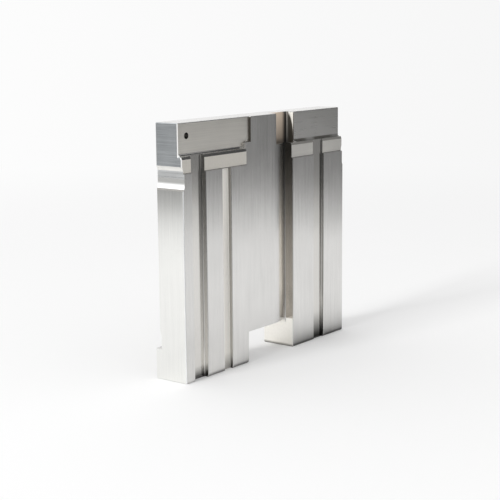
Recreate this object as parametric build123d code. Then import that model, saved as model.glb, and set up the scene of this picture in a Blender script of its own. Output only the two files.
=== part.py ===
from build123d import *
import math
import os

# All sizes are in millimetres.
# x runs along the width from the left side, y runs back from the front of the ribs, z runs up.

# Body
block_width = 65.0
block_height = 60.0
body_thickness = 8.0
edge_break = 0.2

# Heel along the foot of the back, and the relief that frees its corner
heel_height = 7.4
heel_projection = 1.3
heel_relief_depth = 0.4
heel_relief_height = 3.0
heel_relief_run_out = 1.1

# Widths across the front, from the left side to the right
first_rib_width = 3.2
left_channel_width = 4.8
second_rib_width = 6.2
slot_width = 3.1
third_rib_width = 6.4
panel_width = 18.5
fourth_rib_width = 9.3
right_channel_width = 4.4

# Depths behind the front of the ribs
left_channel_depth = 1.2
slot_depth = 1.0
panel_depth = 0.9
right_channel_depth = 0.7
land_depth = 0.35
shoulder_depth = 0.6
left_seat_depth = 1.4
right_seat_depth = 1.5

# Lands that cross the ribs, and the shoulder that slopes back above them, measured down from the top
seat_height = 7.6
shoulder_height = 0.6
land_height = 3.2

# Seats in the two upper corners
seat_root_radius = 0.7
left_seat_overhang = 2.5
left_seat_overhang_rise = 1.5
left_seat_corner_radius = 0.5
right_seat_setback = 2.45

# Sweep of the panel's floor back to its right wall, and the deeper pocket above the shoulder
sweep_width = 7.4
sweep_depth = 2.75
pocket_width = 5.4
pocket_depth = 3.4

# Corner radii and edge breaks that the cutters leave
channel_root_radius = 0.3
pocket_root_radius = 0.5
land_root_radius = 0.15
mouth_break = 0.15

# Window between the two feet
window_height = 7.4
window_left_clearance = 0.2
window_corner_radius = 1.5

# Round lower corners of the left foot beside the window and of the right foot at its outer side
foot_corner_radius = 0.8

# Latch grooves across the two sides
side_groove_from_top = 9.8
side_groove_height = 5.5
side_groove_depth = 0.5
side_groove_run_out = 1.2

# Pin hole in the upper left seat
hole_diameter = 1.5
hole_from_side = 3.0
hole_from_top = 3.0
hole_depth = 4.0
drill_point_angle = 118.0

# How far each cutting shape reaches past the surface that it enters
overcut = 1.0

# Places that follow from the sizes above
left_channel_start = first_rib_width
second_rib_start = left_channel_start + left_channel_width
slot_start = second_rib_start + second_rib_width
third_rib_start = slot_start + slot_width
panel_start = third_rib_start + third_rib_width
fourth_rib_start = panel_start + panel_width
right_channel_start = fourth_rib_start + fourth_rib_width
fifth_rib_start = right_channel_start + right_channel_width
sweep_start = fourth_rib_start - sweep_width
pocket_start = fourth_rib_start - pocket_width
left_seat_end = panel_start + left_seat_overhang
right_seat_start = fourth_rib_start + right_seat_setback
shoulder_top = block_height - seat_height
land_top = shoulder_top - shoulder_height
land_bottom = land_top - land_height
left_seat_overhang_bottom = shoulder_top + left_seat_overhang_rise
side_groove_top = block_height - side_groove_from_top
side_groove_bottom = side_groove_top - side_groove_height
overall_thickness = body_thickness + heel_projection
above_block = block_height + overcut


def block_between(left, right, front, back, bottom, top):
    """Plain box given by its six limits."""
    box = Box(right - left, back - front, top - bottom)
    return Pos((left + right) / 2, (front + back) / 2, (bottom + top) / 2) * box


def swept_across(side_outline, left, right):
    """Shape with an outline of (y, z) points, swept across the width."""
    face = make_face(Plane.YZ * Polyline(*side_outline, close=True))
    return Pos(left, 0, 0) * extrude(face, right - left, dir=(1, 0, 0))


def vertices_at(face, axis, place):
    """Corners of a flat face that lie at one place along an axis."""
    return face.vertices().filter_by_position(axis, place - 0.001, place + 0.001)


def body_blank():
    """Plate with its heel and heel relief, its long outer edges broken."""
    relief_floor = body_thickness - heel_relief_depth
    relief_top = heel_height + heel_relief_height
    outline = [
        (0, 0),
        (overall_thickness, 0),
        (overall_thickness, heel_height),
        (relief_floor, heel_height),
        (relief_floor, relief_top),
        (body_thickness, relief_top + heel_relief_run_out),
        (body_thickness, block_height),
        (0, block_height),
    ]
    blank = swept_across(outline, 0, block_width)
    long_edges = blank.edges().filter_by(Axis.X)
    outer_edges = long_edges.filter_by_position(Axis.Z, -0.1, 0.1)
    outer_edges += long_edges.filter_by_position(Axis.Z, block_height - 0.1, block_height + 0.1)
    outer_edges += long_edges.filter_by_position(Axis.Y, overall_thickness - 0.1, overall_thickness + 0.1)
    return chamfer(set(outer_edges), edge_break)


def channel(left, right, depth, bottom, top, root_radius, left_face=0.0, right_face=0.0):
    """Upright channel with round floor corners and a broken edge at each side of its mouth."""
    left_reach = left_face + mouth_break + overcut
    right_reach = right_face + mouth_break + overcut
    outline = [
        (left - left_reach, -overcut),
        (left, left_face + mouth_break),
        (left, depth),
        (right, depth),
        (right, right_face + mouth_break),
        (right + right_reach, -overcut),
    ]
    section = make_face(Polyline(*outline, close=True))
    section = fillet(vertices_at(section, Axis.Y, depth), root_radius)
    return Pos(0, 0, bottom) * extrude(section, top - bottom)


def land_groove():
    """Shallow groove across all the ribs, with the shoulder that slopes back above it."""
    outline = [
        (-overcut, land_bottom),
        (land_depth, land_bottom),
        (land_depth, land_top),
        (shoulder_depth, shoulder_top),
        (shoulder_depth, shoulder_top + overcut),
        (-overcut, shoulder_top + overcut),
    ]
    return swept_across(outline, -overcut, block_width + overcut)


def seat(left, right, depth):
    """Recess above the shoulder, open to the top."""
    outline = [
        (-overcut, shoulder_top),
        (depth, shoulder_top),
        (depth, above_block),
        (-overcut, above_block),
    ]
    return swept_across(outline, left, right)


def left_seat():
    """Upper left seat, with the part that reaches over the panel and its round lower corner."""
    recess = seat(-overcut, panel_start, left_seat_depth)
    overhang = block_between(
        panel_start - overcut,
        left_seat_end,
        -overcut,
        left_seat_depth,
        left_seat_overhang_bottom,
        above_block,
    )
    radius = left_seat_corner_radius
    corner = block_between(
        panel_start,
        panel_start + radius,
        -overcut,
        left_seat_depth,
        left_seat_overhang_bottom - radius,
        left_seat_overhang_bottom,
    )
    round_length = 4 * left_seat_depth + 4 * overcut
    round_off = Rot(90, 0, 0) * Cylinder(radius, round_length)
    round_off = Pos(panel_start + radius, 0, left_seat_overhang_bottom - radius) * round_off
    return recess + overhang + (corner - round_off)


def right_seat():
    """Upper right seat, set back from the fourth rib's left side."""
    return seat(right_seat_start, block_width + overcut, right_seat_depth)


def swept_floor(place):
    """Depth of the panel's swept floor at a place along x. The sweep is part of a circle."""
    drop = sweep_depth - panel_depth
    radius = (sweep_width**2 + drop**2) / (2 * drop)
    return panel_depth + radius - math.sqrt(radius**2 - (place - sweep_start) ** 2)


def panel():
    """Wide panel between the third and the fourth rib, its floor swept back towards the fourth."""
    reach = mouth_break + overcut
    mid_place = sweep_start + sweep_width / 2
    outline = [
        Polyline(
            (fourth_rib_start, sweep_depth),
            (fourth_rib_start, mouth_break),
            (fourth_rib_start + reach, -overcut),
            (panel_start - reach, -overcut),
            (panel_start, mouth_break),
            (panel_start, panel_depth),
            (sweep_start, panel_depth),
        ),
        ThreePointArc(
            (sweep_start, panel_depth),
            (mid_place, swept_floor(mid_place)),
            (fourth_rib_start, sweep_depth),
        ),
    ]
    section = make_face(Curve(children=outline))
    left_root = section.vertices().group_by(Axis.X)[1].sort_by(Axis.Y)[-1]
    right_root = section.vertices().sort_by(Axis.Y)[-1]
    section = fillet([left_root, right_root], channel_root_radius)
    return Pos(0, 0, -overcut) * extrude(section, above_block + overcut)


def pocket():
    """Pocket above the shoulder, wider and deeper than the end of the sweep."""
    return channel(
        pocket_start,
        right_seat_start,
        pocket_depth,
        shoulder_top,
        above_block,
        pocket_root_radius,
        left_face=swept_floor(pocket_start),
        right_face=right_seat_depth,
    )


def window():
    """Opening between the feet, right through the block, with round upper corners."""
    left = panel_start - window_left_clearance
    right = fourth_rib_start
    opening = block_between(
        left,
        right,
        -overcut,
        overall_thickness + overcut,
        -overcut,
        window_height,
    )
    upper_edges = opening.edges().filter_by(Axis.Y).group_by(Axis.Z)[-1]
    return fillet(upper_edges, window_corner_radius)


def foot_corner(foot_end):
    """What is cut away to round the lower right corner of a foot that ends at a place along x."""
    radius = foot_corner_radius
    back = overall_thickness + overcut
    corner = block_between(foot_end - radius, foot_end + overcut, -overcut, back, -overcut, radius)
    round_off = Rot(90, 0, 0) * Cylinder(radius, 4 * back)
    return corner - Pos(foot_end - radius, 0, radius) * round_off


def side_groove():
    """Groove across the left side with a swept run-out above and below its floor."""
    run_out = side_groove_run_out
    depth = side_groove_depth
    sweep_radius = (run_out**2 + depth**2) / (2 * depth)
    half_angle = math.asin(run_out / sweep_radius) / 2
    mid_depth = depth - sweep_radius * (1 - math.cos(half_angle))
    mid_run = sweep_radius * math.sin(half_angle)
    floor_bottom = side_groove_bottom + run_out
    floor_top = side_groove_top - run_out
    outline = [
        Line((-overcut, side_groove_bottom), (0, side_groove_bottom)),
        ThreePointArc((0, side_groove_bottom), (mid_depth, floor_bottom - mid_run), (depth, floor_bottom)),
        Line((depth, floor_bottom), (depth, floor_top)),
        ThreePointArc((depth, floor_top), (mid_depth, floor_top + mid_run), (0, side_groove_top)),
        Line((0, side_groove_top), (-overcut, side_groove_top)),
        Line((-overcut, side_groove_top), (-overcut, side_groove_bottom)),
    ]
    face = make_face(Plane.XZ * Curve(children=outline))
    groove = extrude(face, overall_thickness + 2 * overcut, dir=(0, 1, 0))
    return Pos(0, -overcut, 0) * groove


def pin_hole():
    """Blind drilled hole in the upper left seat, with its drill point."""
    radius = hole_diameter / 2
    point_length = radius / math.tan(math.radians(drill_point_angle / 2))
    outline = [
        (0, -overcut),
        (radius, -overcut),
        (radius, hole_depth),
        (0, hole_depth + point_length),
    ]
    section = make_face(Plane.XY * Polyline(*outline, close=True))
    drill = revolve(section, Axis.Y, 360)
    return Pos(hole_from_side, left_seat_depth, block_height - hole_from_top) * drill


def round_root(block, depth, height, radius):
    """Rounds the inner edges that run along the width at one depth and height."""
    edges = block.edges().filter_by(Axis.X)
    edges = edges.filter_by_position(Axis.Y, depth - 0.01, depth + 0.01)
    edges = edges.filter_by_position(Axis.Z, height - 0.01, height + 0.01)
    return fillet(edges, radius)


def break_side_edges(block):
    """Breaks every edge round the two side faces."""
    faces = block.faces().sort_by(Axis.X)
    return chamfer(faces[0].edges() + faces[-1].edges(), edge_break)


def break_upper_front_edges(block):
    """Breaks the edges between the top face and all that was cut into the front.

    The narrow broken mouths of the channels reach the top too, so the break stays within their width.
    """
    height_range = (block_height - 0.001, block_height + 0.001)
    top = block.faces().filter_by_position(Axis.Z, *height_range).sort_by(SortBy.AREA)[-1]
    front_edges = top.edges().filter_by_position(Axis.Y, 0, pocket_depth + 0.01)
    return chamfer(front_edges, min(edge_break, 1.6 * mouth_break))


def core_block():
    """The whole block, with its origin at the middle of its base."""
    block = body_blank()
    block -= land_groove()
    block -= left_seat()
    block -= right_seat()
    block = break_side_edges(block)
    block = round_root(block, land_depth, land_bottom, land_root_radius)
    block = round_root(block, left_seat_depth, shoulder_top, seat_root_radius)
    block = round_root(block, right_seat_depth, shoulder_top, seat_root_radius)
    block -= channel(
        left_channel_start,
        second_rib_start,
        left_channel_depth,
        -overcut,
        above_block,
        channel_root_radius,
    )
    block -= channel(
        slot_start,
        third_rib_start,
        slot_depth,
        -overcut,
        land_bottom,
        channel_root_radius,
    )
    block -= panel()
    block -= channel(
        right_channel_start,
        fifth_rib_start,
        right_channel_depth,
        -overcut,
        above_block,
        channel_root_radius,
    )
    block -= pocket()
    block = break_upper_front_edges(block)
    block -= window()
    block -= foot_corner(panel_start - window_left_clearance)
    block -= foot_corner(block_width)
    block -= side_groove()
    block -= mirror(side_groove(), Plane.YZ.offset(block_width / 2))
    block -= pin_hole()
    return Pos(-block_width / 2, -overall_thickness / 2, 0) * block


os.makedirs("parts", exist_ok=True)
block = core_block()
export_step(block, "parts/core_block.step")
print("volume", round(block.volume, 1), "solids", len(block.solids()), "valid", block.is_valid)
print("box", block.bounding_box())
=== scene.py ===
# %% [markdown]
# A core block is a small insert that shapes the inside of a moulded part. It is cut from one piece of
# hardened tool steel, and nearly every face is ground, so the whole object is one solid with several
# finishes. The solid comes from the frame, which holds its true sizes. This script gives it its finishes,
# its softened edges, a camera and a plain studio.

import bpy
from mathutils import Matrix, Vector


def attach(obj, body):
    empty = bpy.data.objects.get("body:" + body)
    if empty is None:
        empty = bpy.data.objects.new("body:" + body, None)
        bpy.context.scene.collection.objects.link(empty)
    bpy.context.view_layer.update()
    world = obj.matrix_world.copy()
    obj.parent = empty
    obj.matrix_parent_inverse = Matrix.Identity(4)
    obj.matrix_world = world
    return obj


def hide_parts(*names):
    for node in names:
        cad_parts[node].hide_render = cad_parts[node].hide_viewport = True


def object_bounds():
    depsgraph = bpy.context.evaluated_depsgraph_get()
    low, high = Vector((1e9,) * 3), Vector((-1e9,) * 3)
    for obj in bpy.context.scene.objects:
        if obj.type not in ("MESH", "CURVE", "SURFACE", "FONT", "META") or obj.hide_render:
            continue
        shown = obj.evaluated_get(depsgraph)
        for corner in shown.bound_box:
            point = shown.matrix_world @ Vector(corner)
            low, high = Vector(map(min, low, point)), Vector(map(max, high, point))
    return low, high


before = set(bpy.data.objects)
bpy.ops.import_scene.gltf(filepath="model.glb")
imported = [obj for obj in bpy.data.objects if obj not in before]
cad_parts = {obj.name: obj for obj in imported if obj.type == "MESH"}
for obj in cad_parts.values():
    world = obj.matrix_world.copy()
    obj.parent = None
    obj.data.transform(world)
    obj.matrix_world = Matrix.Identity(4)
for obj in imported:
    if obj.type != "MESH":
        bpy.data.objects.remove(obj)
cad_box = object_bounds()
print("CAD box in metres:", [tuple(round(v, 5) for v in corner) for corner in cad_box])

# %% [markdown]
# Blender works in metres and a toolmaker in millimetres. The block's sizes in this script are millimetres,
# and one factor turns them to metres. They are measured as a maker would measure them: across from the
# block's left side, deep from the front of its ribs and up from its base. The frame counts from the block's
# middle instead, so the left side and the ribs' front are noted with their places in the frame.

# %% Sizes of the block
import math

import bmesh
import bpy
import numpy as np
from mathutils import Matrix, Vector

MM = 0.001
BLOCK_WIDTH = (cad_box[1].x - cad_box[0].x) / MM
BLOCK_HEIGHT = (cad_box[1].z - cad_box[0].z) / MM
LEFT_SIDE = cad_box[0].x / MM
RIB_FRONT = cad_box[0].y / MM
print("block", round(BLOCK_WIDTH, 2), "mm wide and", round(BLOCK_HEIGHT, 2), "mm high")

# %% [markdown]
# The camera stands to the left of the block and a little above it, with a long lens, as for a catalogue
# picture. Its place and its three turns were worked out from the straight edges of the block, which run
# towards their vanishing points. A long lens keeps those edges nearly parallel, so the block doesn't look
# bent.

# %% Camera
CAMERA_PLACE = Vector((-241.62, -184.21, 80.92)) * MM
CAMERA_TURN = math.radians(-52.433)
CAMERA_TILT = math.radians(90 - 10.205)
CAMERA_ROLL = math.radians(-0.520)
SENSOR_WIDTH = 36.0
LENS_LENGTH = 89.17
NEAREST_SEEN = 10.0

camera_data = bpy.data.cameras.new("catalogue_camera")
camera_data.sensor_width = SENSOR_WIDTH
camera_data.lens = LENS_LENGTH
camera_data.clip_start = NEAREST_SEEN * MM
camera = bpy.data.objects.new("catalogue_camera", camera_data)
turned = Matrix.Rotation(CAMERA_TURN, 4, "Z") @ Matrix.Rotation(CAMERA_TILT, 4, "X")
camera.matrix_world = Matrix.Translation(CAMERA_PLACE) @ turned @ Matrix.Rotation(CAMERA_ROLL, 4, "Z")
bpy.context.scene.collection.objects.link(camera)
bpy.context.scene.camera = camera
print("camera is", round(CAMERA_PLACE.length / MM), "mm from the block")

# %% [markdown]
# Three helpers serve every material. Screen colours are written as hex values, and the renderer wants
# linear light, so one function turns one to the other. The next adds a node, gives it its settings and
# links its inputs, so that a material reads like a list of what its surface does. The last starts a
# material.

# %% Helpers for colours and nodes
def linear(hex_colour):
    """Linear colour of an sRGB hex value: each channel is undone with the sRGB curve."""
    values = [int(hex_colour[i:i + 2], 16) / 255 for i in (1, 3, 5)]
    return [v / 12.92 if v <= 0.04045 else ((v + 0.055) / 1.055) ** 2.4 for v in values] + [1.0]


def add_node(tree, kind, inputs=None, **settings):
    """Adds a node. An input that is given a socket is linked to it, and any other gets the value."""
    node = tree.nodes.new("ShaderNode" + kind)
    for name, value in settings.items():
        setattr(node, name, value)
    for name, value in (inputs or {}).items():
        if isinstance(value, bpy.types.NodeSocket):
            tree.links.new(value, node.inputs[name])
        else:
            node.inputs[name].default_value = value
    return node


def new_material(name):
    """An empty material with only its node tree."""
    material = bpy.data.materials.new(name)
    material.use_nodes = True
    material.node_tree.nodes.clear()
    return material, material.node_tree


print("mid grey #808080 is", round(linear("#808080")[0], 3), "in linear light")

# %% [markdown]
# The shown block is a copy of the solid's mesh, so its shape is exactly the solid's. The frame's mesh is
# loose triangles. Double points are merged first, and the triangles of a flat are then made one face. Two
# level cuts, at the window's height and halfway up the side groove, change no shape: they only let the
# parts above and below them have their own finish, such as the painted light on the foot's inner side and
# on the groove's lower part.

# %% The block's mesh
FLAT_TURN = math.radians(0.3)
SAME_POINT = 1e-7
WINDOW_HEIGHT = 7.4
GROOVE_LIGHT_TOP = 47.5


def merged_copy(source, name, cut_heights):
    """A new object with the source's mesh, merged to flats and cut level at the given heights."""
    mesh = source.data.copy()
    mesh.name = name
    work = bmesh.new()
    work.from_mesh(mesh)
    bmesh.ops.remove_doubles(work, verts=work.verts, dist=SAME_POINT)
    bmesh.ops.dissolve_limit(work, angle_limit=FLAT_TURN, verts=work.verts, edges=work.edges)
    for level in cut_heights:
        everything = list(work.verts) + list(work.edges) + list(work.faces)
        place = (0, 0, level * MM)
        bmesh.ops.bisect_plane(work, geom=everything, dist=SAME_POINT, plane_co=place, plane_no=(0, 0, 1))
    work.to_mesh(mesh)
    work.free()
    piece = bpy.data.objects.new(name, mesh)
    bpy.context.scene.collection.objects.link(piece)
    return piece


block = merged_copy(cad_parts["core_block"], "ground_core_block", (WINDOW_HEIGHT, GROOVE_LIGHT_TOP))
block.data.materials.clear()
print("block has", len(block.data.vertices), "points and", len(block.data.polygons), "faces")

# %% [markdown]
# A face gets its finish by where it lies and by the way it points. Both are worked out for every face at
# once, as whole arrays. A direction has three parts, and each is 1 for a face that points fully that way,
# 0 for one that lies along it and -1 for one that points the other way. Since the front points to -y and
# the left to -x, their parts are below zero. Two places count as the same within 0.02 mm.

# %% Places and directions of the faces
SAME_PLACE = 0.02


def face_places(mesh):
    """Middle of each face, in the block's millimetres, and the way it points."""
    count = len(mesh.polygons)
    middles = np.empty(count * 3)
    normals = np.empty(count * 3)
    mesh.polygons.foreach_get("center", middles)
    mesh.polygons.foreach_get("normal", normals)
    return middles.reshape(-1, 3) / MM - (LEFT_SIDE, RIB_FRONT, 0), normals.reshape(-1, 3)


def near(values, place, reach=SAME_PLACE):
    """True where a value is within reach of a place."""
    return abs(values - place) < reach


def between(values, low, high):
    """True where a value lies between two others."""
    return (values > low) & (values < high)


def add_finish(material):
    """Puts a material on the block and gives its number, by which a face calls it."""
    block.data.materials.append(material)
    return len(block.data.materials) - 1


middles, normals = face_places(block.data)
across, depth, height = middles.T
to_right, to_back, to_top = normals.T
faces_front = to_back < -0.99
faces_left = to_right < -0.9
faces_out = (to_back < -0.2) | faces_left
print("faces that point to the front:", int(faces_front.sum()), "and to the left:", int(faces_left.sum()))

# %% [markdown]
# Ground steel is hardened steel that a grinding wheel has passed over. The wheel leaves fine straight
# lines, all one way, which spread a reflection across them and keep it sharp along them. So the finish has
# three parts: an anisotropic gloss, a bump of stretched noise for the lines, and a faint change of tone
# from line to line. The noise is stretched by dividing the object coordinates by the spacing of the lines
# across the grain and by their length along it. Real lines are about 0.05 mm apart, too fine to show, so
# they are drawn 0.12 to 0.5 mm apart.
#
# Some finishes get darker towards a foot or a top, inside one or two zones. Such a zone is painted shade,
# and some finishes below are painted light or shade as a whole, as said where they are made. Such a zone,
# and every other finish below that is called a stand-in, is there because the place looks darker or lighter
# in the photograph, most likely from a reflection or a contact shade and not from another steel. They take
# the place of light that the boards further down don't give. They were matched to the photograph by
# comparing brightness, so they fit that one view best.

# %% Steel with a grain
LINE_SPACING = 0.3
LINE_LENGTH = 14.0
MOTTLE_SIZE = 7.0
MOTTLE_SHARE = 0.35
NOISE_LOW, NOISE_HIGH = 0.3, 0.7
GLOSS_SPREAD = 0.15
MICRON = 1e-6


def darker_towards(tree, place, colour, zone):
    """Colour that gets darker towards one height. The zone is (dark, clear, least): the height where only
    the least share of the colour is left and the height where all of it is. Dark may lie below or above."""
    dark, clear, least = zone
    up = add_node(tree, "SeparateXYZ", {"Vector": place}).outputs["Z"]
    limits = {"From Min": dark * MM, "From Max": clear * MM, "To Min": least}
    share = add_node(tree, "MapRange", {"Value": up} | limits)
    scaled = add_node(tree, "VectorMath", {0: colour, "Scale": share.outputs[0]}, operation="SCALE")
    return scaled.outputs[0]


def ground_steel(name, tones, roughness, grain, anisotropy, line_depth=0.4, spacing=LINE_SPACING, zones=()):
    """Steel with fine lines that run up ("z") or level ("xy"). Tones are the darkest and lightest line.
    Line depth is in thousandths of a millimetre. Zones, as in darker_towards, are painted shade."""
    material, tree = new_material(name)
    if grain == "z":
        over_lines, cell = (1.0, 1.0, 0.0), (spacing, spacing, LINE_LENGTH)
    else:
        over_lines, cell = (0.05, 0.03, 1.0), (LINE_LENGTH, LINE_LENGTH, spacing)
    noise_range = {"From Min": NOISE_LOW, "From Max": NOISE_HIGH}
    gloss_range = {"To Min": roughness * (1 - GLOSS_SPREAD), "To Max": roughness * (1 + GLOSS_SPREAD)}

    place = add_node(tree, "TexCoord").outputs["Object"]
    stretched = add_node(tree, "Mapping", {"Vector": place, "Scale": [1 / (size * MM) for size in cell]})
    lines = add_node(tree, "TexNoise", {"Vector": stretched.outputs[0], "Scale": 1.0, "Detail": 3.0})
    mottle = add_node(tree, "TexNoise", {"Vector": place, "Scale": 1 / (MOTTLE_SIZE * MM), "Detail": 2.0})
    parts = {"Factor": MOTTLE_SHARE, "A": lines.outputs["Fac"], "B": mottle.outputs["Fac"]}
    both = add_node(tree, "Mix", parts).outputs[0]
    tone = add_node(tree, "MapRange", {"Value": both} | noise_range)
    colour = add_node(tree, "Mix", {"Factor": tone.outputs[0]}, data_type="RGBA")
    colour.inputs["A"].default_value = linear(tones[0])
    colour.inputs["B"].default_value = linear(tones[1])
    colour = colour.outputs["Result"]
    for zone in zones:
        colour = darker_towards(tree, place, colour, zone)

    gloss = add_node(tree, "MapRange", {"Value": both} | noise_range | gloss_range)
    relief = {"Height": lines.outputs["Fac"], "Strength": 1.0, "Distance": line_depth * MICRON}
    bump = add_node(tree, "Bump", relief)
    tangent = add_node(tree, "CombineXYZ", {"X": over_lines[0], "Y": over_lines[1], "Z": over_lines[2]})
    look = {"Base Color": colour, "Metallic": 1.0, "Roughness": gloss.outputs[0], "Anisotropic": anisotropy}
    shape = {"Tangent": tangent.outputs[0], "Normal": bump.outputs[0]}
    surface = add_node(tree, "BsdfPrincipled", look | shape)
    add_node(tree, "OutputMaterial", {"Surface": surface.outputs[0]})
    return material


print("lines are drawn", LINE_SPACING, "mm apart and", LINE_LENGTH, "mm long unless a finish says otherwise")

# %% [markdown]
# The ribs, the panel and the back are ground upwards, so their lines run up. The gloss is spread sideways,
# which draws a reflection out into the soft upright bands of ground steel. From the second rib on, the ribs'
# fronts have a copy of that finish with painted shade in its lowest millimetre: the contact shade where the
# block meets the floor.

# %% Ribs, panel and back
UPRIGHT_LINES = {"roughness": 0.20, "grain": "z", "anisotropy": 0.6, "line_depth": 0.6, "spacing": 0.24}
UPRIGHT_TONES = ("#d6d5d3", "#e8e7e5")
# Painted contact shade: a rib front's lowest 0.9 mm darkens to a fifth of its colour.
CONTACT_SHADE = (0.0, 0.9, 0.2)
LEFT_CHANNEL_END = 8.0

UPRIGHT = add_finish(ground_steel("upright_ground_steel", UPRIGHT_TONES, **UPRIGHT_LINES))
RIB_CONTACT_SHADE = add_finish(ground_steel("contact_shaded_ground_steel", UPRIGHT_TONES, **UPRIGHT_LINES, zones=[CONTACT_SHADE]))

finish = np.full(len(middles), UPRIGHT, np.int32)
finish[faces_front & (depth < SAME_PLACE) & (across > LEFT_CHANNEL_END)] = RIB_CONTACT_SHADE
print("rib fronts with a dark foot:", int((finish == RIB_CONTACT_SHADE).sum()))

# %% [markdown]
# Some faces are too small or too matt for a grain to show: edges broken with a stone, lapped lands, a
# spark-eroded floor. Their finish is one colour with a faint fine noise. Most of them are metal in part
# only. The rest stands for small pits and scratches, which send light back to all sides and make a matt
# face look even.

# %% Steel without a grain
PIT_SIZE = 0.6
PIT_SPREAD = 0.06


# Every finish made with this below is painted light or shade, in whole or in part, as said where it is made.
def matt_steel(name, colour, roughness, metal, zones=()):
    """Steel without a grain. The part that isn't metal stands for pits. Zones, as in darker_towards, are
    painted shade."""
    material, tree = new_material(name)
    place = add_node(tree, "TexCoord").outputs["Object"]
    pits = add_node(tree, "TexNoise", {"Vector": place, "Scale": 1 / (PIT_SIZE * MM), "Detail": 3.0})
    spread = {"To Min": 1 - PIT_SPREAD, "To Max": 1 + PIT_SPREAD}
    tone = add_node(tree, "MapRange", {"Value": pits.outputs["Fac"]} | spread).outputs[0]
    toned = add_node(tree, "VectorMath", {0: linear(colour)[:3], "Scale": tone}, operation="SCALE")
    shade = toned.outputs[0]
    for zone in zones:
        shade = darker_towards(tree, place, shade, zone)
    look = {"Base Color": shade, "Metallic": metal, "Roughness": roughness}
    surface = add_node(tree, "BsdfPrincipled", look)
    add_node(tree, "OutputMaterial", {"Surface": surface.outputs[0]})
    return material


print("pits are drawn", PIT_SIZE, "mm wide")

# %% [markdown]
# A few places of painted light and shade need a colour that changes over the face. One kind runs from one
# colour to another with the distance from a centre, which gives a crescent or a band. The distance is
# measured in radii, one for each direction, so a very long radius leaves its direction out.

# %% Steel with a round shade
SHADED_METAL, SHADED_ROUGHNESS = 0.2, 0.5


def round_shaded_steel(name, inside, outside, centre, radii, start, end):
    """Steel whose colour runs smoothly from inside to outside between two distances from a centre. The
    distance is the length of (place - centre) / radii, part by part."""
    material, tree = new_material(name)
    place = add_node(tree, "TexCoord").outputs["Object"]
    moved = add_node(tree, "VectorMath", {0: place, 1: [c * MM for c in centre]}, operation="SUBTRACT")
    by_radii = {0: moved.outputs[0], 1: [1 / (r * MM) for r in radii]}
    scaled = add_node(tree, "VectorMath", by_radii, operation="MULTIPLY")
    distance = add_node(tree, "VectorMath", {0: scaled.outputs[0]}, operation="LENGTH").outputs["Value"]
    limits = {"Value": distance, "From Min": start, "From Max": end}
    share = add_node(tree, "MapRange", limits, interpolation_type="SMOOTHSTEP")
    colour = add_node(tree, "Mix", {"Factor": share.outputs[0]}, data_type="RGBA")
    colour.inputs["A"].default_value = linear(inside)
    colour.inputs["B"].default_value = linear(outside)
    look = {"Base Color": colour.outputs["Result"], "Metallic": SHADED_METAL, "Roughness": SHADED_ROUGHNESS}
    surface = add_node(tree, "BsdfPrincipled", look)
    add_node(tree, "OutputMaterial", {"Surface": surface.outputs[0]})
    return material


print("shaded steel is", SHADED_METAL, "metal, so that its colours show in any light")

# %% [markdown]
# The left side is ground upwards below the latch groove and brushed lengthwise above it. A brush leaves
# coarser, softer lines than a wheel, so the upper part is rougher and cooler in tone. The groove is brushed
# along its own length. From the groove up, the block's left edge is broken by hand with a stone, which
# leaves it bright and matt, and its near-white colour adds a painted highlight. Below the groove the break
# is ground and keeps more gloss, and its light colour adds a painted highlight too. The groove's lower part
# and its run-out are painted reflection of the bright band that the floor throws up into it, and its lip is
# painted shade under that band.

# %% Left side and its latch groove
GROOVE_TOP, GROOVE_BOTTOM = 50.2, 44.7
GROOVE_START = GROOVE_BOTTOM - 0.1
RUN_OUT_START = GROOVE_BOTTOM - 0.2
LIP_TOP = GROOVE_BOTTOM + 0.4
GROOVE_BAND_HEIGHT = 45.45
SIDE_REACH = 1.0
FAR_AWAY = 1000
BAND_CENTRE = (LEFT_SIDE, 0.0, GROOVE_BAND_HEIGHT)
BAND_RADII = (FAR_AWAY, FAR_AWAY, 1.0)
BRUSHED = {"grain": "xy", "line_depth": 0.9, "spacing": 0.19}

SIDE = add_finish(ground_steel("side_ground_steel", ("#ebebe8", "#f5f5f2"), 0.16, "z", 0.6))
SIDE_BRUSHED = add_finish(
    ground_steel("side_brushed_steel", ("#c8cdd0", "#e4e8ea"), roughness=0.22, anisotropy=0.3, **BRUSHED)
)
GROOVE = add_finish(
    ground_steel("groove_brushed_steel", ("#cfd1d1", "#eceded"), roughness=0.30, anisotropy=0.5, **BRUSHED)
)
# Painted reflection: a white band across the groove's lower part, turning grey above and below it.
GROOVE_BAND_REFLECTION = add_finish(
    round_shaded_steel("groove_painted_reflection_steel", "#ffffff", "#a2a2a0", BAND_CENTRE, BAND_RADII, 0.35, 1.2)
)
# Painted reflection: a light matt colour on the groove's run-out.
RUN_OUT_REFLECTION = add_finish(matt_steel("run_out_painted_reflection_steel", "#dddcd8", 0.40, 0.40))
# Painted half shade: a mid grey, for shade on the groove's lip and for light in the hooked corner.
HALF_SHADE = add_finish(matt_steel("painted_half_shade_steel", "#9a9894", 0.40, 0.20))
# The stoned edge is matt; its near-white colour adds a painted highlight.
EDGE_HIGHLIGHT = add_finish(matt_steel("stoned_edge_painted_highlight_steel", "#f6f6f4", 0.40, 0.25))
# The ground break is glossier; its light colour adds a painted highlight.
LOW_EDGE_HIGHLIGHT = add_finish(matt_steel("ground_edge_painted_highlight_steel", "#f0f1f1", 0.40, 0.60))

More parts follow.
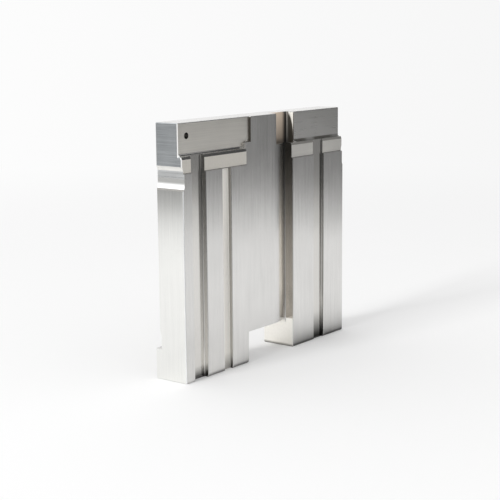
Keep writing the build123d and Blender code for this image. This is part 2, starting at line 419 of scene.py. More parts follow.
on_side = (across < SIDE_REACH) & (to_right < -0.5)
finish[on_side] = SIDE
finish[on_side & (height > RUN_OUT_START)] = GROOVE
finish[on_side & (height > GROOVE_TOP)] = SIDE_BRUSHED
in_groove = on_side & between(height, GROOVE_START, GROOVE_TOP) & near(to_back, 0, 0.3)
finish[in_groove & (to_top < -0.1)] = RUN_OUT_REFLECTION
finish[in_groove & (height < GROOVE_LIGHT_TOP)] = GROOVE_BAND_REFLECTION
finish[in_groove & (height < LIP_TOP)] = HALF_SHADE
upright_break = (to_right < -0.5) & (to_back < -0.5) & near(to_top, 0, 0.3)
finish[upright_break & (across < SIDE_REACH)] = LOW_EDGE_HIGHLIGHT
finish[upright_break & (across < SIDE_REACH) & (height > GROOVE_BOTTOM)] = EDGE_HIGHLIGHT
print("faces on the left side:", int(on_side.sum()), "of which in the groove:", int(in_groove.sum()))

# %% [markdown]
# A second kind of painted light and shade changes its colour across the block, from one stop to the next. A
# stop is a place across the block and the colour there. The root of the right seat and the back of the
# pocket need it, because in the photograph their tone changes more than once from left to right.

# %% Steel with a colour ramp
def ramp_steel(name, stops, zones):
    """Steel whose colour changes across the block. A stop is (place across, colour), and zones darken it."""
    material, tree = new_material(name)
    place = add_node(tree, "TexCoord").outputs["Object"]
    start, end = stops[0][0], stops[-1][0]
    x = add_node(tree, "SeparateXYZ", {"Vector": place}).outputs["X"]
    limits = {"From Min": (start + LEFT_SIDE) * MM, "From Max": (end + LEFT_SIDE) * MM}
    share = add_node(tree, "MapRange", {"Value": x} | limits)
    ramp = add_node(tree, "ValToRGB", {"Fac": share.outputs[0]})
    while len(ramp.color_ramp.elements) < len(stops):
        ramp.color_ramp.elements.new(1.0)
    for element, (stop, colour) in zip(ramp.color_ramp.elements, stops):
        element.position = (stop - start) / (end - start)
        element.color = linear(colour)
    shade = ramp.outputs["Color"]
    for zone in zones:
        shade = darker_towards(tree, place, shade, zone)
    look = {"Base Color": shade, "Metallic": SHADED_METAL, "Roughness": SHADED_ROUGHNESS}
    surface = add_node(tree, "BsdfPrincipled", look)
    add_node(tree, "OutputMaterial", {"Surface": surface.outputs[0]})
    return material


print("a ramp's stops are places across the block, from 0 to", round(BLOCK_WIDTH), "mm")

# %% [markdown]
# The two seats above the shoulder locate the core in its plate. They are ground across the block, so their
# lines run level. The left one is rougher and a little warmer than the right one. Each gets darker just
# above its swept root, which is a painted reflection of the shoulder. The other painted marks here are the
# right root's grey ramp, which is painted reflection, the painted shade on the step, which is the thin wall
# at the left seat's right end, and the painted light grey of the hooked corner below it.

# %% Seats, their roots and the step
SHOULDER_TOP = 52.4
LEFT_SEAT_DEPTH, RIGHT_SEAT_DEPTH = 1.4, 1.5
STEP_START, STEP_END = 23.6, 26.5
STEP_DEPTHS = (0.85, 1.45)
STEP_TOP = BLOCK_HEIGHT - 0.5
HOOK_END = 24.2
ROOT_MIDDLE, ROOT_REACH = SHOULDER_TOP + 0.35, 0.34
ROOT_DEPTHS = (0.8, 1.5)
POCKET_RIGHT = 44.65
LEFT_SEAT_TONES = ("#e6e3dc", "#f4f1ea")
RIGHT_SEAT_TONES = ("#dddcd9", "#e4e3e0")
# Painted shade just above each seat's swept root, for the shoulder's reflection.
LEFT_SEAT_SHADE, RIGHT_SEAT_SHADE = (SHOULDER_TOP, 53.2, 0.6), (SHOULDER_TOP, 53.3, 0.45)
# Painted reflection: greys across the right seat's root, dark and light in turn.
ROOT_REFLECTION_STOPS = [
    (44.6, "#56544f"),
    (49.0, "#56544f"),
    (50.6, "#8e8d8a"),
    (52.6, "#8e8d8a"),
    (54.0, "#56544f"),
    (60.5, "#56544f"),
    (62.5, "#82817e"),
]

ACROSS = add_finish(
    ground_steel("across_ground_painted_shade_steel", LEFT_SEAT_TONES, 0.42, "xy", 0.5, zones=[LEFT_SEAT_SHADE])
)
RIGHT_SEAT = add_finish(
    ground_steel("right_seat_steel", RIGHT_SEAT_TONES, 0.30, "xy", 0.4, 0.04, 0.12, [RIGHT_SEAT_SHADE])
)
ROOT = add_finish(ramp_steel("seat_root_painted_reflection_steel", ROOT_REFLECTION_STOPS, [(SHOULDER_TOP, 52.9, 0.6)]))
# Painted shade on the thin wall at the left seat's right end.
STEP_PAINTED_SHADE = add_finish(matt_steel("step_painted_shade_steel", "#4c4842", 0.40, 0.50))

at_step = between(across, STEP_START, STEP_END) & between(depth, *STEP_DEPTHS) & (height > SHOULDER_TOP)
finish[at_step & near(to_back, 0, 0.3) & (height < STEP_TOP)] = STEP_PAINTED_SHADE
finish[at_step & (to_right < -0.5) & (across < HOOK_END)] = HALF_SHADE
finish[faces_front & near(depth, LEFT_SEAT_DEPTH)] = ACROSS
finish[faces_front & near(depth, RIGHT_SEAT_DEPTH) & (height > SHOULDER_TOP)] = RIGHT_SEAT
in_root = (across > POCKET_RIGHT + 0.05) & near(height, ROOT_MIDDLE, ROOT_REACH)
in_root = in_root & between(depth, *ROOT_DEPTHS)
finish[in_root & between(to_top, 0.1, 0.95) & near(to_right, 0, 0.1)] = ROOT
on_seats = np.isin(finish, (ACROSS, RIGHT_SEAT))
print("faces on the seats:", int(on_seats.sum()), "and in the right root:", int((finish == ROOT).sum()))

# %% [markdown]
# Three lands cross the ribs below the shoulder. A land seals against the plate, so it is lapped: rubbed on
# a flat plate with fine paste, which takes the lines away and leaves an even, soft grey. The left ones look
# brighter and warmer in the photograph, so they have a lighter, warmer matt colour of their own, which is
# painted light. The shoulder slopes over the right lands are a flat grey of painted shade.

# %% Lands and shoulder slopes
LAND_DEPTH = 0.35
LAND_TOP = 51.8
PANEL_LEFT, WINDOW_RIGHT = 23.7, 42.2
SLOPE_MIDDLE = (LAND_TOP + SHOULDER_TOP) / 2
SLOPE_DEPTHS = (LAND_DEPTH + SAME_PLACE, 0.6)

LAPPED = add_finish(ground_steel("lapped_land_steel", ("#e4e2dd", "#edebe6"), 0.50, "xy", 0.0, spacing=0.5))
# Painted light: a lighter, warmer matt colour for the left lands.
LAND_PAINTED_LIGHT = add_finish(matt_steel("lapped_painted_light_steel", "#e4e0d8", 0.50, 0.75))
# Painted shade: a flat grey on the shoulder slopes over the right lands.
SLOPE_PAINTED_SHADE = add_finish(matt_steel("shoulder_slope_painted_shade_steel", "#82807c", 0.40, 0.20))

on_land = faces_front & near(depth, LAND_DEPTH)
finish[on_land] = LAPPED
finish[on_land & (across < PANEL_LEFT)] = LAND_PAINTED_LIGHT
on_slope = near(height, SLOPE_MIDDLE, 0.1) & (to_back < -0.8) & between(depth, *SLOPE_DEPTHS)
finish[on_slope & (across > WINDOW_RIGHT)] = SLOPE_PAINTED_SHADE
print("faces on the lands:", int(on_land.sum()), "and on the grey slopes:", int((finish == SLOPE_PAINTED_SHADE).sum()))

# %% [markdown]
# The channels are ground with a thin wheel, whose fine grit leaves a higher gloss. In the photograph their
# walls and floors get dark towards the foot, and the wall between the right channel and the last rib most
# of all. Those zones are painted shade. The greyer floor of the left channel is painted light and shade.
# The slot is cut by sparks, which leaves a matt grey floor of tiny craters, with painted contact shade at
# its foot. Its right wall is a darker mirror with a darker foot and top, all painted shade.

# %% Channels and slot
LEFT_CHANNEL_START = 3.3
RIGHT_CHANNEL_START, RIGHT_CHANNEL_END = 51.6, 55.9
ROUND_REACH = 0.1
SLOT_START, SLOT_END = 14.2, 17.3
CHANNEL_LEAST, FLOOR_LEAST, SLOT_LEAST, WALL_LEAST = 0.3, 1.1, 0.4, 0.2
LEFT_TONES = ("#dad8d4", "#e2e0dc")
RIGHT_TONES = ("#d6d4d0", "#dedcd8")
SLOT_WALL_SHADE_TONES = ("#b8b6b2", "#c0bebb")
FOOT_SHADE = (0.0, 3.0, 0.08)


def fine_ground_finish(name, tones, zones):
    """The finish of a thin, fine wheel, with its zones of painted shade."""
    return add_finish(ground_steel(name, tones, 0.13, "z", 0.4, zones=zones))


LEFT_CHANNEL = fine_ground_finish("left_channel_steel", LEFT_TONES, [FOOT_SHADE])
# Painted shade towards the foot of the right channel and of its wall.
RIGHT_CHANNEL = fine_ground_finish("right_channel_steel", RIGHT_TONES, [(0.0, 7.0, 0.08)])
RIGHT_WALL = fine_ground_finish("right_wall_steel", RIGHT_TONES, [(1.5, 12.5, 0.04)])
# Painted shade: darker tones and a darker foot and top on the slot's right wall.
SLOT_WALL = fine_ground_finish("slot_wall_steel", SLOT_WALL_SHADE_TONES, [FOOT_SHADE, (56, 20, 0.45)])
# Painted light and shade: the floor is partly matt, which lightens it, and darker at its foot and top.
CHANNEL_FLOOR = add_finish(
    matt_steel("channel_floor_steel", "#e0deda", 0.16, 0.90, [FOOT_SHADE, (50.0, 40.0, 0.7)])
)
# Painted contact shade at the foot of the matt slot floor.
ERODED = add_finish(matt_steel("spark_eroded_painted_shade_steel", "#f5f2ec", 0.55, 0.40, [(0.0, 4.0, 0.45)]))

below_land = height < LAND_TOP
in_channel = (depth > CHANNEL_LEAST) & faces_out & below_land
finish[in_channel & between(across, LEFT_CHANNEL_START, LEFT_CHANNEL_END + ROUND_REACH)] = LEFT_CHANNEL
finish[in_channel & between(across, RIGHT_CHANNEL_START, RIGHT_CHANNEL_END + ROUND_REACH)] = RIGHT_CHANNEL
on_floor = in_channel & faces_front & (depth > FLOOR_LEAST)
finish[on_floor & between(across, LEFT_CHANNEL_START, LEFT_CHANNEL_END)] = CHANNEL_FLOOR
finish[faces_left & near(across, LEFT_CHANNEL_END) & below_land] = LEFT_CHANNEL
at_right_wall = (to_right < -0.3) & near(across, RIGHT_CHANNEL_END, 0.25) & (depth > WALL_LEAST)
finish[at_right_wall & below_land] = RIGHT_WALL
in_slot = between(across, SLOT_START, SLOT_END + 0.01) & (depth > SLOT_LEAST) & faces_out & below_land
finish[in_slot] = ERODED
finish[faces_left & near(across, SLOT_END) & below_land] = SLOT_WALL
in_channels = np.isin(finish, (LEFT_CHANNEL, RIGHT_CHANNEL, RIGHT_WALL, CHANNEL_FLOOR))
print("faces in the channels:", int(in_channels.sum()), "and in the slot:", int(in_slot.sum()))

# %% [markdown]
# Towards the right the panel sweeps back and ends at a deep wall. A wheel with a rounded rim makes such a
# sweep in one pass. In the photograph the sweep and the wall are dark above, and the wall is dark at its
# foot too. Those zones are painted shade, and the wall's warm tint is a painted reflection. Below the wall
# the foot's inner side faces the open window, and its bright, warm colour is painted light. The shade at
# its bottom is painted contact shade with the floor. Where the window's round corner turns down, it has the
# near-white colour of a stoned edge, which is a painted highlight.

# %% Deep wall, sweep and window
WARM_REFLECTION_TONES = ("#f6ecde", "#fdf5e9")
SWEEP_TONES = ("#bebcb9", "#cccac7")
CORNER_START = 40.5
CORNER_LOW = 5

# Painted shade at the wall's foot and top, and a painted warm reflection in its tones.
DEEP_WALL = fine_ground_finish("deep_wall_steel", WARM_REFLECTION_TONES, [(0.0, 16.0, 0.04), (50, 30, 0.25)])
# Painted shade towards the top of the sweep.
DEEP_SWEEP = add_finish(ground_steel("deep_sweep_steel", SWEEP_TONES, 0.20, "z", 0.6, zones=[(52, 30, 0.2)]))
# Painted light: a near-white, warm colour on the foot's inner side, with painted contact shade below.
FOOT_PAINTED_LIGHT = add_finish(matt_steel("foot_painted_light_steel", "#fdfaf3", 0.30, 1.00, [(0.0, 0.7, 0.12)]))

in_sweep = between(across, PANEL_LEFT, WINDOW_RIGHT - 0.05) & between(height, WINDOW_HEIGHT, SHOULDER_TOP)
finish[in_sweep & faces_out & (to_right < -0.05) & near(to_top, 0, 0.5)] = DEEP_SWEEP
at_deep_wall = faces_left & near(across, WINDOW_RIGHT)
finish[at_deep_wall & (height > WINDOW_HEIGHT)] = DEEP_WALL
finish[at_deep_wall & (height < WINDOW_HEIGHT)] = FOOT_PAINTED_LIGHT
in_corner = between(across, CORNER_START, WINDOW_RIGHT + SAME_PLACE)
in_corner = in_corner & between(height, CORNER_LOW, WINDOW_HEIGHT + SAME_PLACE)
finish[in_corner & (to_right < -0.1) & near(to_back, 0, 0.1)] = EDGE_HIGHLIGHT
finish[in_corner & (to_right < -0.8) & near(to_back, 0, 0.1)] = FOOT_PAINTED_LIGHT
print("faces of the sweep:", int((finish == DEEP_SWEEP).sum()), "and of the wall:", int(at_deep_wall.sum()))

# %% [markdown]
# The pocket above the shoulder is milled with a small cutter, which leaves it duller than the ground faces.
# The photograph shows it warm and light on the left, nearly black in its right corner, and with a bright
# crescent on its right wall. The ramp paints the reflections of one wall of the pocket in the other and the
# shade in its right corner, and its zones are painted shade. The crescent is a painted patch of light, with
# painted shadow on the rest of the wall. The edge at the pocket's mouth is stoned, with a painted highlight.

# %% Pocket
POCKET_DEPTH = 3.4
POCKET_LEFT = 36.8
# Painted reflection and shade: warm and light on the left, nearly black in the right corner.
POCKET_REFLECTION_STOPS = [
    (39.6, "#dac9b6"),
    (42.3, "#c2b19f"),
    (43.3, "#4a443e"),
    (43.8, "#2a2723"),
    (44.1, "#2a2723"),
    (44.3, "#b5b0a8"),
    (44.6, "#5a554e"),
]
CRESCENT_CENTRE = (POCKET_RIGHT + LEFT_SIDE, POCKET_DEPTH + RIB_FRONT, 52.8)
CRESCENT_RADII = (5.0, 1.85, 6.9)
CRESCENT_START, CRESCENT_END = 0.92, 1.06
POCKET_SHADES = [(53.4, 60.0, 0.45), (52.6, 53.6, 0.45)]
# Painted shadow near the pocket's deep lower corner and painted light beyond it, as a crescent.
POCKET_WALL_LIGHT_AND_SHADE = ("#46423a", "#fdfaf2")

crescent = (CRESCENT_CENTRE, CRESCENT_RADII, CRESCENT_START, CRESCENT_END)
MILLED_PAINTED_REFLECTION = add_finish(ramp_steel("milled_pocket_painted_reflection_steel", POCKET_REFLECTION_STOPS, POCKET_SHADES))
POCKET_WALL = add_finish(round_shaded_steel("pocket_wall_painted_light_steel", *POCKET_WALL_LIGHT_AND_SHADE, *crescent))

above = (height > SHOULDER_TOP) & near(to_top, 0, 0.9) & faces_out
in_pocket = above & between(across, POCKET_LEFT, POCKET_RIGHT + SAME_PLACE)
in_pocket = in_pocket & (depth > RIGHT_SEAT_DEPTH + 0.1)
finish[in_pocket] = MILLED_PAINTED_REFLECTION
finish[in_pocket & faces_left] = POCKET_WALL
at_mouth = near(across, POCKET_RIGHT, 0.3) & (depth < RIGHT_SEAT_DEPTH + 0.2)
finish[above & upright_break & at_mouth] = EDGE_HIGHLIGHT
block.data.polygons.foreach_set("material_index", finish)
print("faces by finish:", {m.name: int((finish == i).sum()) for i, m in enumerate(block.data.materials)})

# %% [markdown]
# A ground edge is never quite sharp: a stone takes off a fifth of a millimetre. The solid has those narrow
# breaks. To make each break catch light like the small round that it is on the real block, the shading
# direction is set at every face corner. First the flats are told from the breaks and rounds: a flat lies
# square to an axis, or it is wide for the length of its rim.

# %% The mesh as arrays
FLAT_WIDTH = 0.2
SQUARE = 0.99999


def mesh_arrays(mesh):
    """Each corner's point and face, and each face's direction, area and whether it is a flat. Area is in
    square millimetres, and a face's width is its area divided by the length of its rim."""
    loops, faces, points = len(mesh.loops), len(mesh.polygons), len(mesh.vertices)
    point, start, total = np.empty(loops, int), np.empty(faces, int), np.empty(faces, int)
    normal, area, place = np.empty(faces * 3), np.empty(faces), np.empty(points * 3)
    mesh.loops.foreach_get("vertex_index", point)
    mesh.polygons.foreach_get("loop_start", start)
    mesh.polygons.foreach_get("loop_total", total)
    mesh.polygons.foreach_get("normal", normal)
    mesh.polygons.foreach_get("area", area)
    mesh.vertices.foreach_get("co", place)
    normal, place, area = normal.reshape(-1, 3), place.reshape(-1, 3) / MM, area / MM**2
    face = np.repeat(np.arange(faces), total)
    after = np.arange(loops) + 1
    after[start + total - 1] = start
    rim = np.bincount(face, np.linalg.norm(place[point[after]] - place[point], axis=1))
    flat = (abs(normal).max(axis=1) > SQUARE) | (area / rim > FLAT_WIDTH)
    return point, face, normal, area, flat


print("flats:", int(mesh_arrays(block.data)[4].sum()), "of", len(block.data.polygons), "faces")

# %% [markdown]
# Then the directions are worked out. Flat faces keep their own direction, so they stay truly flat. At a
# corner that a break or a small round shares with a flat face, it takes the flat face's direction, so light
# rolls over it without a step. Where no flat face is near, the faces around the point are averaged by their
# area.

# %% Soft light on the broken edges
SHARP_TURN = math.radians(50)
FLAT_WEIGHT = 1e6
LEAST_AREA = 1e-9


def corner_directions(mesh):
    """Shading direction at each face corner: the sum of those faces at its point that turn by less than the
    sharp turn, each by its area, with flat faces counted a million times."""
    point, face, normal, area, flat = mesh_arrays(mesh)
    loops = len(point)
    order = np.argsort(point, kind="stable")
    count = np.bincount(point, minlength=len(mesh.vertices))
    first = np.concatenate([[0], np.cumsum(count)[:-1]])
    pairs = count[point]
    here = np.repeat(np.arange(loops), pairs)
    step = np.arange(pairs.sum()) - np.repeat(np.cumsum(pairs) - pairs, pairs)
    there = face[order[first[point[here]] + step]]
    close = (normal[face[here]] * normal[there]).sum(axis=1) > math.cos(SHARP_TURN)
    weight = close * (area[there] + LEAST_AREA) * np.where(flat[there], FLAT_WEIGHT, 1.0)
    summed = np.stack([np.bincount(here, weight * normal[there, axis], loops) for axis in range(3)], axis=1)
    summed /= np.linalg.norm(summed, axis=1, keepdims=True)
    return np.where(flat[face][:, None], normal[face], summed)


block.data.polygons.foreach_set("use_smooth", np.ones(len(block.data.polygons), bool))
block.data.normals_split_custom_set(corner_directions(block.data).tolist())
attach(block, "root")
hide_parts("core_block")
print("shading directions set at", len(block.data.loops), "face corners")

# %% [markdown]
# The floor is a wide sheet of white paper whose far edge curls up, as in a studio, so that no horizon
# shows. It is worked out from two parameters: a ring number, which sets the distance from the middle, and
# an angle.

# %% Floor
FLOOR_RADIUS = 4.0
CURL_START = 1.5
CURL_HEIGHT = 0.6


def paper_sheet(name, rings=40, segments=96):
    """A point is (r cos a, r sin a, z). The distance r grows with the square of the ring number. The height
    z is 0 near the middle and grows with the square of r further out."""
    r = FLOOR_RADIUS * np.linspace(0, 1, rings + 1)[1:, None] ** 2
    a = np.linspace(0, 2 * np.pi, segments, endpoint=False)[None, :]
    curl = np.clip((r - CURL_START) / (FLOOR_RADIUS - CURL_START), 0, 1) ** 2 * CURL_HEIGHT
    grid = np.stack([r * np.cos(a), r * np.sin(a), curl + 0 * a], axis=-1).reshape(-1, 3)
    ring, step = np.meshgrid(np.arange(rings - 1), np.arange(segments), indexing="ij")
    after = (step + 1) % segments
    inner, outer = ring * segments + 1, (ring + 1) * segments + 1
    quads = np.stack([inner + step, outer + step, outer + after, inner + after], axis=-1)
    spokes = np.arange(segments)
    middle = np.stack([0 * spokes, spokes + 1, (spokes + 1) % segments + 1], axis=-1)
    mesh = bpy.data.meshes.new(name)
    mesh.from_pydata([(0, 0, 0)] + grid.tolist(), [], middle.tolist() + quads.reshape(-1, 4).tolist())
    piece = bpy.data.objects.new(name, mesh)
    bpy.context.scene.collection.objects.link(piece)
    return piece


floor = paper_sheet("paper_floor")
print("floor has", len(floor.data.polygons), "faces")

# %% [markdown]
# Studio paper is matt and nearly white. Near the block it takes the shadow. Further out it turns into an
# even glow, slightly weaker on the right, where the lamp is farther away. A glow of 1 is white, and both
# ends stay below it.

# %% Paper
PAPER_COLOUR = "#fafafa"
WHITE = (1, 1, 1, 1)
FADE_START, FADE_END = 0.12, 0.45
LEFT_GLOW, RIGHT_GLOW = 0.975, 0.925
TOWARDS_RIGHT = (0.6, -0.8, 0.0)
SIDE_BLEND = 0.3
SIDE_LIMIT = 0.2


def studio_paper():
    """Matt white paper that turns into a glow with the distance from the block. The glow follows how far a
    point lies to the right, divided by the sum of its distance and a blend."""
    material, tree = new_material("white_studio_paper")
    place = add_node(tree, "TexCoord").outputs["Object"]
    distance = add_node(tree, "VectorMath", {0: place}, operation="LENGTH").outputs["Value"]
    limits = {"Value": distance, "From Min": FADE_START, "From Max": FADE_END}
    fade = add_node(tree, "MapRange", limits, interpolation_type="SMOOTHSTEP")
    side = add_node(tree, "VectorMath", {0: place, 1: TOWARDS_RIGHT}, operation="DOT_PRODUCT")
    reach = add_node(tree, "Math", {0: distance, 1: SIDE_BLEND}, operation="ADD")
    parts = {0: side.outputs["Value"], 1: reach.outputs[0]}
    share = add_node(tree, "Math", parts, operation="DIVIDE").outputs[0]
    side_range = {"From Min": -SIDE_LIMIT, "From Max": SIDE_LIMIT, "To Min": LEFT_GLOW, "To Max": RIGHT_GLOW}
    level = add_node(tree, "MapRange", {"Value": share} | side_range)
    matt = add_node(tree, "BsdfDiffuse", {"Color": linear(PAPER_COLOUR)})
    glow = add_node(tree, "Emission", {"Color": WHITE, "Strength": level.outputs[0]})
    mix = add_node(tree, "MixShader", {0: fade.outputs[0], 1: matt.outputs[0], 2: glow.outputs[0]})
    add_node(tree, "OutputMaterial", {"Surface": mix.outputs[0]})
    return material


floor.data.materials.append(studio_paper())
print("paper is matt up to", FADE_START, "m from the middle and only a glow from", FADE_END, "m")

# %% [markdown]
# Polished steel shows its surroundings more than itself. In a studio, grey and white boards stand round the
# object to give each face its tone. Here they form one closed wall of board that only reflections see. Each
# line of the table below is one board: the direction in which it stands, in degrees from the right towards
# the back, its distance from the block in millimetres, and its brightness at several heights, where 1 is
# white. Between two boards the values blend. Places and tones were tried out until the faces of the block
# came near the photograph. The brightness is stored at each point of the wall as an attribute, which the
# material reads.

# %% Wall of boards
BOARD_HEIGHTS = [0, 6, 12, 18, 26, 35, 45, 75, 120, 300]
BOARDS = [
    (-180, 150, 0.90, 0.90, 0.90, 0.60, 0.35, 0.30, 0.30, 0.60, 1.00, 1.00),
    (-170, 220, 0.30, 0.25, 0.20, 0.15, 0.12, 0.12, 0.12, 0.40, 0.60, 0.60),
    (-160, 300, 0.04, 0.04, 0.03, 0.03, 0.03, 0.03, 0.03, 0.20, 0.90, 0.90),
    (-72, 300, 0.04, 0.04, 0.03, 0.03, 0.03, 0.03, 0.03, 0.20, 0.40, 0.40),
    (-56, 200, 0.78, 0.69, 0.53, 0.35, 0.25, 0.23, 0.23, 0.18, 0.10, 0.10),
    (-30, 200, 0.78, 0.69, 0.53, 0.35, 0.25, 0.23, 0.23, 0.15, 0.06, 0.06),
    (-20, 200, 0.45, 0.40, 0.30, 0.20, 0.15, 0.13, 0.13, 0.10, 0.05, 0.05),
    (-8, 200, 0.18, 0.15, 0.12, 0.10, 0.08, 0.08, 0.08, 0.06, 0.05, 0.05),
    (10, 200, 0.18, 0.18, 0.18, 0.18, 0.18, 0.18, 0.18, 0.60, 0.80, 0.80),
    (25, 200, 0.50, 0.50, 0.50, 0.50, 0.50, 0.50, 0.50, 1.00, 1.00, 1.00),
    (80, 200, 0.60, 0.60, 0.60, 0.60, 0.60, 0.60, 0.60, 1.00, 1.00, 1.00),
    (105, 200, 1.00, 0.92, 0.80, 0.46, 0.29, 0.30, 0.32, 0.60, 1.00, 1.00),
    (158, 200, 1.00, 0.92, 0.80, 0.46, 0.29, 0.30, 0.32, 0.60, 1.00, 1.00),
    (172, 150, 0.90, 0.90, 0.90, 0.90, 0.90, 1.00, 1.00, 1.00, 1.00, 1.00),
    (180, 150, 0.90, 0.90, 0.90, 0.60, 0.35, 0.30, 0.30, 0.60, 1.00, 1.00),
]


def graded_sheet(name, x, y, z, brightness, closed=False):
    """A sheet through a grid of points (x, y, z) in millimetres, with a brightness at each point."""
    x, y, z, brightness = np.broadcast_arrays(x, y, z, brightness)
    rows, columns = x.shape
    last_row = rows if closed else rows - 1
    row, column = np.meshgrid(np.arange(last_row), np.arange(columns - 1), indexing="ij")
    first, second = row * columns + column, (row + 1) % rows * columns + column
    quads = np.stack([first, first + 1, second + 1, second], axis=-1)
    points = np.stack([x, y, z], axis=-1).reshape(-1, 3) * MM
    mesh = bpy.data.meshes.new(name)
    mesh.from_pydata(points.tolist(), [], quads.reshape(-1, 4).tolist())
    mesh.attributes.new("brightness", "FLOAT", "POINT").data.foreach_set("value", brightness.ravel())
    piece = bpy.data.objects.new(name, mesh)
    bpy.context.scene.collection.objects.link(piece)
    return piece


def board_wall(segments=180, rows=100):
    """A closed wall: a point is (R cos a, R sin a, z). The distance R and the brightness follow the table,
    and the rows lie closer together near the floor, as the square of their number."""
    table = np.array(BOARDS)
    angle = np.linspace(-180, 180, segments, endpoint=False)
    height = BOARD_HEIGHTS[-1] * np.linspace(0, 1, rows + 1) ** 2
    radius = np.interp(angle, table[:, 0], table[:, 1])[:, None]
    by_angle = np.stack([np.interp(angle, table[:, 0], column) for column in table[:, 2:].T], axis=1)
    tone = np.stack([np.interp(height, BOARD_HEIGHTS, tones) for tones in by_angle])
    turn = np.radians(angle)[:, None]
    x, y = radius * np.cos(turn), radius * np.sin(turn)
    return graded_sheet("board_wall", x, y, height, tone, closed=True)


boards = board_wall()
print("wall of boards has", len(boards.data.polygons), "faces")

# %% [markdown]
# The boards glow by their own brightness, so that their tones don't depend on the lamp. They are hidden
# from everything but mirror-like reflections: they cast no shadow and put no light on matt surfaces.

# %% The boards' glow
def seen_in_reflections_only(piece):
    """Hides a piece from everything but mirror-like reflections."""
    piece.visible_camera = False
    piece.visible_diffuse = False
    piece.visible_shadow = False
    piece.visible_transmission = False


board, board_tree = new_material("studio_board")
tone_value = add_node(board_tree, "Attribute", attribute_name="brightness").outputs["Fac"]
glow = add_node(board_tree, "Emission", {"Color": WHITE, "Strength": tone_value})
add_node(board_tree, "OutputMaterial", {"Surface": glow.outputs[0]})
boards.data.materials.append(board)
seen_in_reflections_only(boards)
print("board material:", board.name)

# %% [markdown]
# The floor in front needs grading too. A thin sheet of painted shade lies on it, again for reflections only,
# and lets less light through where the block shows it darker. One such place is the corner between a
# channel's wall and its floor. It sends light straight back, so in it the camera sees the floor between the
# block and its own foot. There the sheet gets darker with the distance, which paints shade into the channels
# towards the top. This part is laid out from the camera's height, distance and direction, as a card is set
# for one picture, so it fits that one view.

# %% What the channel walls see of the floor
EYE_HEIGHT, EYE_REACH = 80.9, 306.0
WALL_HEIGHTS = [0, 10, 20, 30, 40, 50]
LEFT_WALL_TONES = [1.00, 0.92, 0.72, 0.50, 0.10, 0.02]
RIGHT_WALL_TONES = [0.32, 0.34, 0.44, 0.27, 0.08, 0.02]
LEFT_WALL_DIRECTION, RIGHT_WALL_DIRECTION = -152, -138


def seen_by_walls(x, in_front):
    """Clearness for the channel walls. The wall height that sees a point follows by proportion: the eye's
    height times the share, divided by one plus the share. The share is the distance over the reach."""
    share = np.hypot(x, in_front) / EYE_REACH
    height = EYE_HEIGHT * share / (1 + share)
    left = np.interp(height, WALL_HEIGHTS, LEFT_WALL_TONES)
    right = np.interp(height, WALL_HEIGHTS, RIGHT_WALL_TONES)
    direction = np.degrees(np.arctan2(-in_front, x))
    return left + (right - left) * np.interp(direction, [LEFT_WALL_DIRECTION, RIGHT_WALL_DIRECTION], [0, 1])


share_at_100 = float(seen_by_walls(-70.7, 70.7))
print("for the walls the sheet lets", round(share_at_100, 2), "of the light through at 100 mm")

# %% [markdown]
# The other dark place lies right in front of the ribs, where the block keeps the light off the floor. The
# shade there is about 1 mm deep on the left and 20 mm on the right. It ends 6 mm beyond the block's left
# side, and on the right it fades out well beyond the block. Places on the sheet are counted as in the
# frame, from the block's middle.

# %% What the block's foot sees of the floor
SHADE_PLACES, SHADE_REACHES = [-28, -11, 0, 20], [1, 4, 10, 20]
SHADE_STEPS = [0, 0.10, 0.25, 0.45, 0.70, 1.0]
SHADE_TONES = [0.15, 0.40, 0.68, 0.86, 0.95, 1.0]
BESIDE_PLACES = [LEFT_SIDE - 6, LEFT_SIDE, 70, 110]


def seen_by_foot(x, in_front):
    """Clearness close to the ribs. It grows with the distance in front, divided by the shade's reach."""
    reach = np.interp(x, SHADE_PLACES, SHADE_REACHES)
    contact = np.interp(in_front / reach, SHADE_STEPS, SHADE_TONES)
    beside = np.interp(x, BESIDE_PLACES, [1, 0, 0, 1])
    return contact + (1 - contact) * beside


share_at_rib = float(seen_by_foot(0, 1))
print("1 mm in front of the middle the sheet lets", round(share_at_rib, 2), "of the light through")

# %% [markdown]
# The sheet itself is a flat grid. Both kinds of clearness are multiplied. The part for the walls counts
# only in the directions that the walls show. It also keeps off the floor that the ribs' fronts show. That
# floor lies to the right of a line from the block's left edge, along which the camera's view leaves once
# the fronts have mirrored it: 1.16 mm to the right for each millimetre in front. A transparent material
# with a grey colour lets just that share of the light through.

# %% Painted shade sheet on the floor
SHEET_REACH = 300.0
SHEET_LIFT = 0.05
WALL_DIRECTIONS = [-174, -166, -62, -50]
MIRRORED_SLANT = 1.16
LINE_GAP, LINE_WIDTH, LINE_SPREAD = 5, 4, 0.2


def painted_shade_sheet(rows=70, columns=200):
    """A flat sheet in front of the ribs. Its rows lie closer together near the block, as the square of
    their number."""
    in_front = SHEET_REACH * np.linspace(0, 1, rows + 1)[:, None] ** 2
    x = np.linspace(-SHEET_REACH, SHEET_REACH, columns + 1)[None, :]
    direction = np.degrees(np.arctan2(-in_front, x))
    left_of_line = LEFT_SIDE + MIRRORED_SLANT * in_front - x
    spread = LINE_SPREAD * in_front
    for_walls = np.interp(direction, WALL_DIRECTIONS, [0, 1, 1, 0])
    for_walls = for_walls * np.clip((left_of_line - LINE_GAP - spread) / (LINE_WIDTH + spread), 0, 1)
    clear = (1 + (seen_by_walls(x, in_front) - 1) * for_walls) * seen_by_foot(x, in_front)
    return graded_sheet("painted_shade_sheet", x, RIB_FRONT - in_front, SHEET_LIFT, clear)


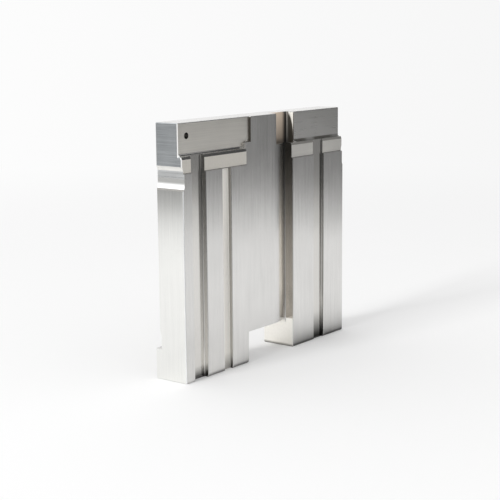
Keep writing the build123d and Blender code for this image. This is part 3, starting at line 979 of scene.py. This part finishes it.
sheet = painted_shade_sheet()
painted_shade, painted_shade_tree = new_material("painted_shade_film")
clearness = add_node(painted_shade_tree, "Attribute", attribute_name="brightness").outputs["Fac"]
film = add_node(painted_shade_tree, "BsdfTransparent", {"Color": clearness})
add_node(painted_shade_tree, "OutputMaterial", {"Surface": film.outputs[0]})
sheet.data.materials.append(painted_shade)
seen_in_reflections_only(sheet)
print("smoked sheet has", len(sheet.data.polygons), "faces")

# %% [markdown]
# The light is soft and nearly even: a pale room all round, and one lamp to the left, 30 degrees up and a
# little behind the block. The lamp draws the shadow to the right. Its strength is worked out from the share
# of the floor's light that it should give.

# %% Lamp
LAMP_DIRECTION = Vector((-1.0, 0.10, 0.58)).normalized()
LAMP_DISTANCE = 1.50
LAMP_SIZE = 0.40
LAMP_SHARE = 0.21

lamp_data = bpy.data.lights.new("side_lamp", "AREA")
lamp_data.shape = "SQUARE"
lamp_data.size = LAMP_SIZE
lamp_data.energy = LAMP_SHARE * math.pi**2 * LAMP_DISTANCE**2 / LAMP_DIRECTION.z
lamp = bpy.data.objects.new("side_lamp", lamp_data)
lamp_turn = LAMP_DIRECTION.to_track_quat("Z", "Y").to_matrix().to_4x4()
lamp.matrix_world = Matrix.Translation(LAMP_DIRECTION * LAMP_DISTANCE) @ lamp_turn
bpy.context.scene.collection.objects.link(lamp)
print("lamp energy", round(lamp_data.energy, 2), "W")

# %% [markdown]
# The room is plain white to the camera and in reflections, and a little dimmer as a light, so that white
# paper isn't burnt out. Light Path tells which kind of ray asks.

# %% Room
ROOM_LIGHT = 0.80

room = bpy.data.worlds.new("pale_room")
room.use_nodes = True
room_tree = room.node_tree
room_tree.nodes.clear()
ray = add_node(room_tree, "LightPath").outputs
seen = add_node(room_tree, "Math", {0: ray["Is Camera Ray"], 1: ray["Is Glossy Ray"]}, operation="MAXIMUM")
seen = add_node(room_tree, "Math", {0: seen.outputs[0], 1: ray["Is Transmission Ray"]}, operation="MAXIMUM")
dim = add_node(room_tree, "Background", {"Color": WHITE, "Strength": ROOM_LIGHT})
bright = add_node(room_tree, "Background", {"Color": WHITE, "Strength": 1.0})
mix = add_node(room_tree, "MixShader", {0: seen.outputs[0], 1: dim.outputs[0], 2: bright.outputs[0]})
add_node(room_tree, "OutputWorld", {"Surface": mix.outputs[0]})
bpy.context.scene.world = room
bpy.context.scene.view_settings.view_transform = "Standard"
print("room gives", ROOM_LIGHT, "of white as a light")
